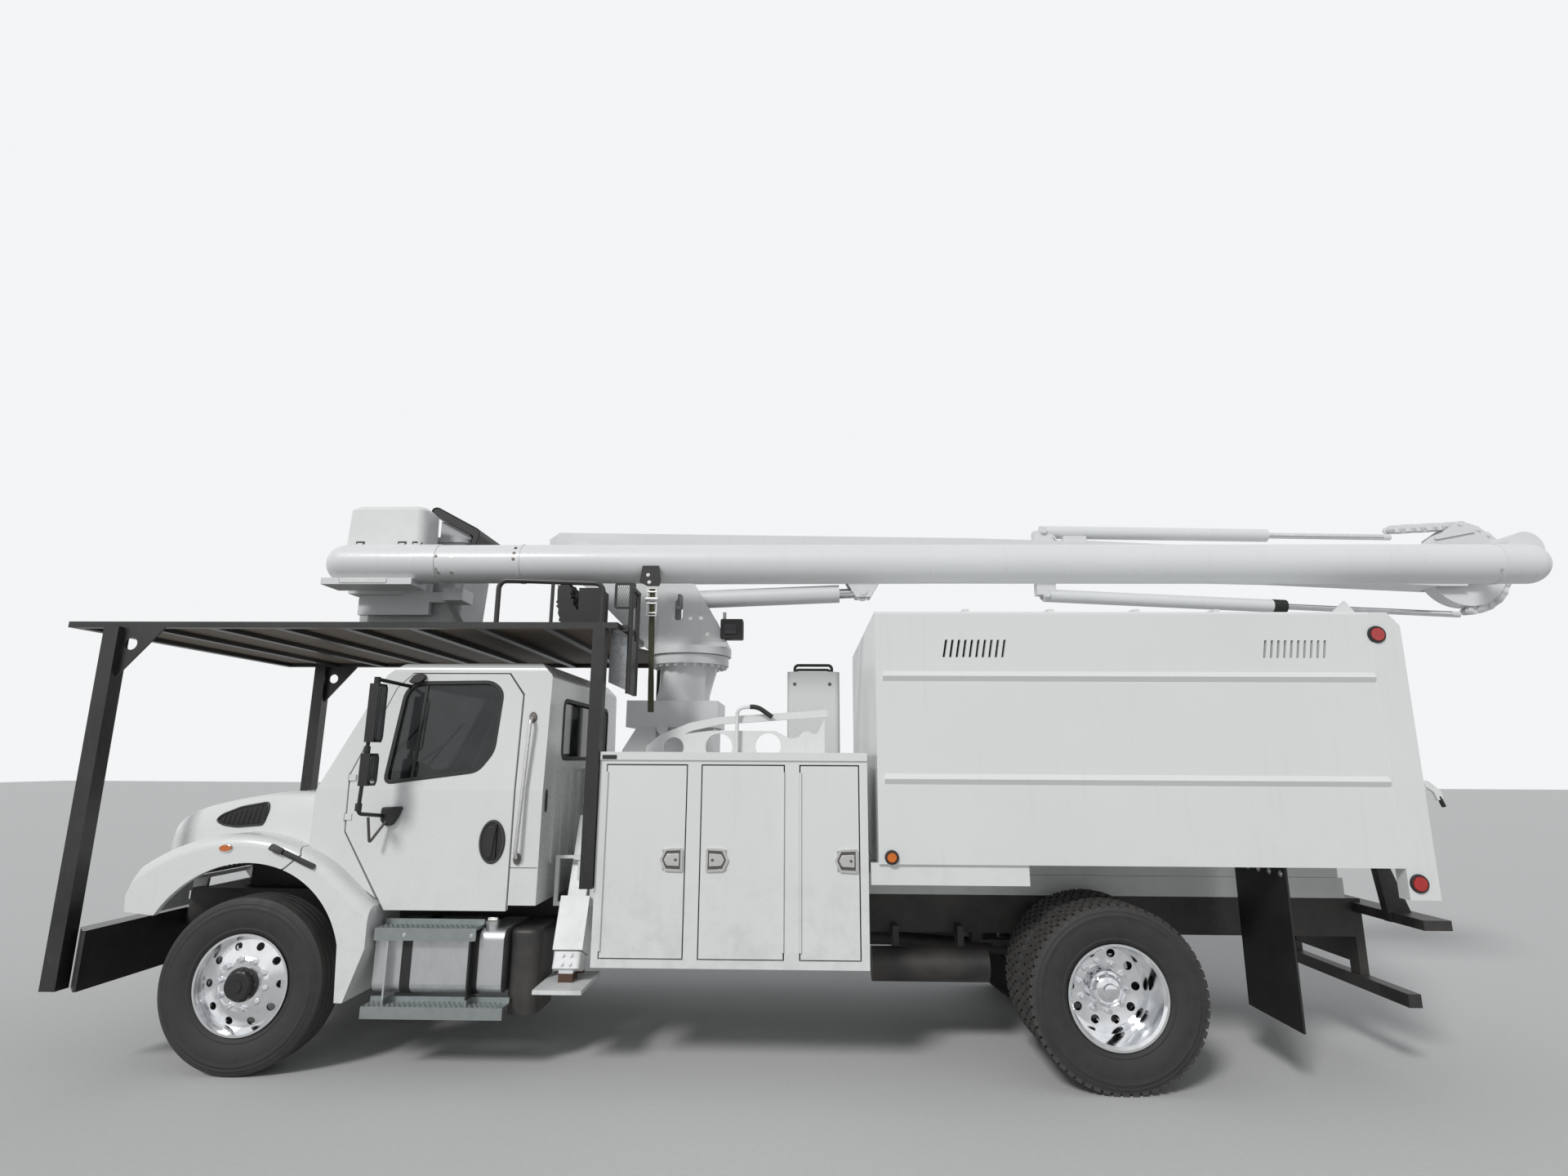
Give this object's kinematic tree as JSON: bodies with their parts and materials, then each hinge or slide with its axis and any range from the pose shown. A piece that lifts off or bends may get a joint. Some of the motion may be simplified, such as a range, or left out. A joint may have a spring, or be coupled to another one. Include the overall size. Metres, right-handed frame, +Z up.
{
  "type": "forestry aerial bucket truck with chip box",
  "caption": "Road truck for tree work: cab under a steel guard deck, tool cabinets, chip box and a slewing, folding boom that carries a work bucket",
  "frame": {"origin": "centre of the footprint box, on the ground", "axes": "+X towards the rear of the truck, +Y towards its right side, +Z up"},
  "size_m": [10.5964, 2.66, 3.9045],
  "materials": {
    "white_paint": "gloss white paint",
    "black_steel": "semi-gloss black paint",
    "tyre_rubber": "matt black rubber",
    "wheel_alloy": "polished alloy",
    "tank_aluminium": "brushed alloy",
    "clear_glass": "clear, lightly tinted",
    "lamp_lens": "clear moulded lens",
    "marker_lens": "red moulded lens",
    "cab_plastic": "grained dark grey",
    "seat_cloth": "woven dark grey",
    "flap_rubber": "matt black",
    "bucket_grey": "light grey glass-fibre gel coat",
    "cover_white": "white moulded cover",
    "rod_chrome": "hard chrome",
    "chain_steel": "oiled dark steel"
  },
  "bodies": {
    "chassis": {"frame_rails": "black_steel", "bumper": "black_steel", "guard_frame": "black_steel", "boom_rest": "flap_rubber", "engine_block": "black_steel", "cab_shell": "white_paint", "rear_fenders": "white_paint", "cab_glass": "clear_glass", "dashboard": "cab_plastic", "seats": "seat_cloth", "front_axle": "black_steel", "rear_axle": "black_steel", "driveshaft": "black_steel", "fuel_tank": "tank_aluminium", "battery_box": "black_steel", "subframe": "white_paint", "cabinet_left": "white_paint", "cabinet_right": "white_paint", "chip_box": "white_paint", "marker_lamps": "marker_lens", "mud_flaps": "flap_rubber", "rear_hitch": "black_steel", "pedestal": "white_paint", "hydraulic_tank": "white_paint"},
    "hood": {"hood": "white_paint", "grille": "black_steel", "headlamps": "lamp_lens"},
    "door_left": {"door_left": "white_paint", "door_glass_left": "clear_glass"},
    "door_right": {"door_right": "white_paint", "door_glass_right": "clear_glass"},
    "knuckle_left": {"knuckle_left": "black_steel"},
    "knuckle_right": {"knuckle_right": "black_steel"},
    "wheel_front_left": {"tyre_front_left": "tyre_rubber", "rim_front_left": "wheel_alloy"},
    "wheel_front_right": {"tyre_front_right": "tyre_rubber", "rim_front_right": "wheel_alloy"},
    "wheels_rear_left": {"tyres_rear_left": "tyre_rubber", "rims_rear_left": "wheel_alloy"},
    "wheels_rear_right": {"tyres_rear_right": "tyre_rubber", "rims_rear_right": "wheel_alloy"},
    "tailgate": {"tailgate": "white_paint"},
    "outrigger_left": {"outrigger_leg_left": "white_paint"},
    "outrigger_right": {"outrigger_leg_right": "white_paint"},
    "turret": {"turret": "white_paint"},
    "lower_boom": {"lower_boom": "white_paint", "elbow_cylinders": "white_paint", "elbow_chain": "chain_steel"},
    "upper_boom": {"upper_boom": "white_paint"},
    "bucket": {"bucket": "bucket_grey", "bucket_mount": "white_paint", "tip_cover": "cover_white"},
    "lift_barrel": {"lift_barrel": "white_paint"},
    "lift_rod": {"lift_rod": "rod_chrome"},
    "cabinet_door_left_1": {"cabinet_door_left_1": "white_paint"},
    "cabinet_door_left_2": {"cabinet_door_left_2": "white_paint"},
    "cabinet_door_left_3": {"cabinet_door_left_3": "white_paint"},
    "cabinet_door_right_1": {"cabinet_door_right_1": "white_paint"},
    "cabinet_door_right_2": {"cabinet_door_right_2": "white_paint"},
    "cabinet_door_right_3": {"cabinet_door_right_3": "white_paint"}
  },
  "joints": [
    {"name": "hood_tilt", "type": "hinge", "parent": "chassis", "child": "hood", "pos_m": [-4.75, 0, 0.95], "axis": [0, -1, 0], "range_deg": [0, 55]},
    {"name": "door_left_hinge", "type": "hinge", "parent": "chassis", "child": "door_left", "pos_m": [-3.37, -1.036, 1.5], "axis": [0, 0, -1], "range_deg": [0, 70]},
    {"name": "door_right_hinge", "type": "hinge", "parent": "chassis", "child": "door_right", "pos_m": [-3.37, 1.036, 1.5], "axis": [0, 0, 1], "range_deg": [0, 70]},
    {"name": "steer_left", "type": "hinge", "parent": "chassis", "child": "knuckle_left", "pos_m": [-3.85, -0.83, 0.52], "axis": [0, 0, 1], "range_deg": [-35, 35]},
    {"name": "wheel_front_left_spin", "type": "hinge", "parent": "knuckle_left", "child": "wheel_front_left", "pos_m": [-3.85, -1.015, 0.52], "axis": [0, 1, 0], "continuous": true},
    {"name": "steer_right", "type": "hinge", "parent": "chassis", "child": "knuckle_right", "pos_m": [-3.85, 0.83, 0.52], "axis": [0, 0, 1], "range_deg": [-35, 35]},
    {"name": "wheel_front_right_spin", "type": "hinge", "parent": "knuckle_right", "child": "wheel_front_right", "pos_m": [-3.85, 1.015, 0.52], "axis": [0, 1, 0], "continuous": true},
    {"name": "wheels_rear_left_spin", "type": "hinge", "parent": "chassis", "child": "wheels_rear_left", "pos_m": [1.515, -1, 0.53], "axis": [0, 1, 0], "continuous": true},
    {"name": "wheels_rear_right_spin", "type": "hinge", "parent": "chassis", "child": "wheels_rear_right", "pos_m": [1.515, 1, 0.53], "axis": [0, 1, 0], "continuous": true},
    {"name": "cabinet_door_left_1_hinge", "type": "hinge", "parent": "chassis", "child": "cabinet_door_left_1", "pos_m": [-1.604, -1.226, 1.29], "axis": [0, 0, -1], "range_deg": [0, 90]},
    {"name": "cabinet_door_left_2_hinge", "type": "hinge", "parent": "chassis", "child": "cabinet_door_left_2", "pos_m": [-0.486, -1.226, 1.29], "axis": [0, 0, 1], "range_deg": [0, 90]},
    {"name": "cabinet_door_left_3_hinge", "type": "hinge", "parent": "chassis", "child": "cabinet_door_left_3", "pos_m": [-0.379, -1.226, 1.29], "axis": [0, 0, -1], "range_deg": [0, 90]},
    {"name": "cabinet_door_right_1_hinge", "type": "hinge", "parent": "chassis", "child": "cabinet_door_right_1", "pos_m": [-1.604, 1.226, 1.29], "axis": [0, 0, 1], "range_deg": [0, 90]},
    {"name": "cabinet_door_right_2_hinge", "type": "hinge", "parent": "chassis", "child": "cabinet_door_right_2", "pos_m": [-0.486, 1.226, 1.29], "axis": [0, 0, -1], "range_deg": [0, 90]},
    {"name": "cabinet_door_right_3_hinge", "type": "hinge", "parent": "chassis", "child": "cabinet_door_right_3", "pos_m": [-0.379, 1.226, 1.29], "axis": [0, 0, 1], "range_deg": [0, 90]},
    {"name": "tailgate_hinge", "type": "hinge", "parent": "chassis", "child": "tailgate", "pos_m": [3.486, 1.128, 2], "axis": [0, 0, 1], "range_deg": [0, 105]},
    {"name": "outrigger_left_slide", "type": "slide", "parent": "chassis", "child": "outrigger_left", "axis": [0, -0.3746, -0.9272], "range_m": [0, 0.535]},
    {"name": "outrigger_right_slide", "type": "slide", "parent": "chassis", "child": "outrigger_right", "axis": [0, 0.3746, -0.9272], "range_m": [0, 0.535]},
    {"name": "turret_slew", "type": "hinge", "parent": "chassis", "child": "turret", "pos_m": [-1.27, 0, 2.7], "axis": [0, 0, 1], "continuous": true},
    {"name": "boom_raise", "type": "hinge", "parent": "turret", "child": "lower_boom", "pos_m": [-2.15, 0, 3.5], "axis": [0, -1, 0], "range_deg": [0, 80]},
    {"name": "boom_unfold", "type": "hinge", "parent": "lower_boom", "child": "upper_boom", "pos_m": [4.92, 0, 3.44], "axis": [0, 1, 0], "range_deg": [0, 160]},
    {"name": "bucket_level", "type": "hinge", "parent": "upper_boom", "child": "bucket", "pos_m": [-3.795, -0.6, 3.33], "axis": [0, -1, 0], "range_deg": [0, 80]},
    {"name": "lift_barrel_swing", "type": "hinge", "parent": "turret", "child": "lift_barrel", "pos_m": [-1.4, 0, 3.17], "axis": [0, -1, 0], "range_deg": [0, 90.2]},
    {"name": "lift_rod_slide", "type": "slide", "parent": "lift_barrel", "child": "lift_rod", "axis": [0.9991, 0, 0.0427], "range_m": [0, 1.005]}
  ],
  "couplings": [
    {"joint": "steer_right", "follows": "steer_left", "ratio": 1},
    {"joint": "boom_unfold", "follows": "boom_raise", "ratio": 2},
    {"joint": "bucket_level", "follows": "boom_raise", "ratio": 1},
    {"joint": "lift_barrel_swing", "follows": "boom_raise", "ratio": 1.1213},
    {"joint": "lift_rod_slide", "follows": "boom_raise", "m_per_rad": 0.71612}
  ]
}
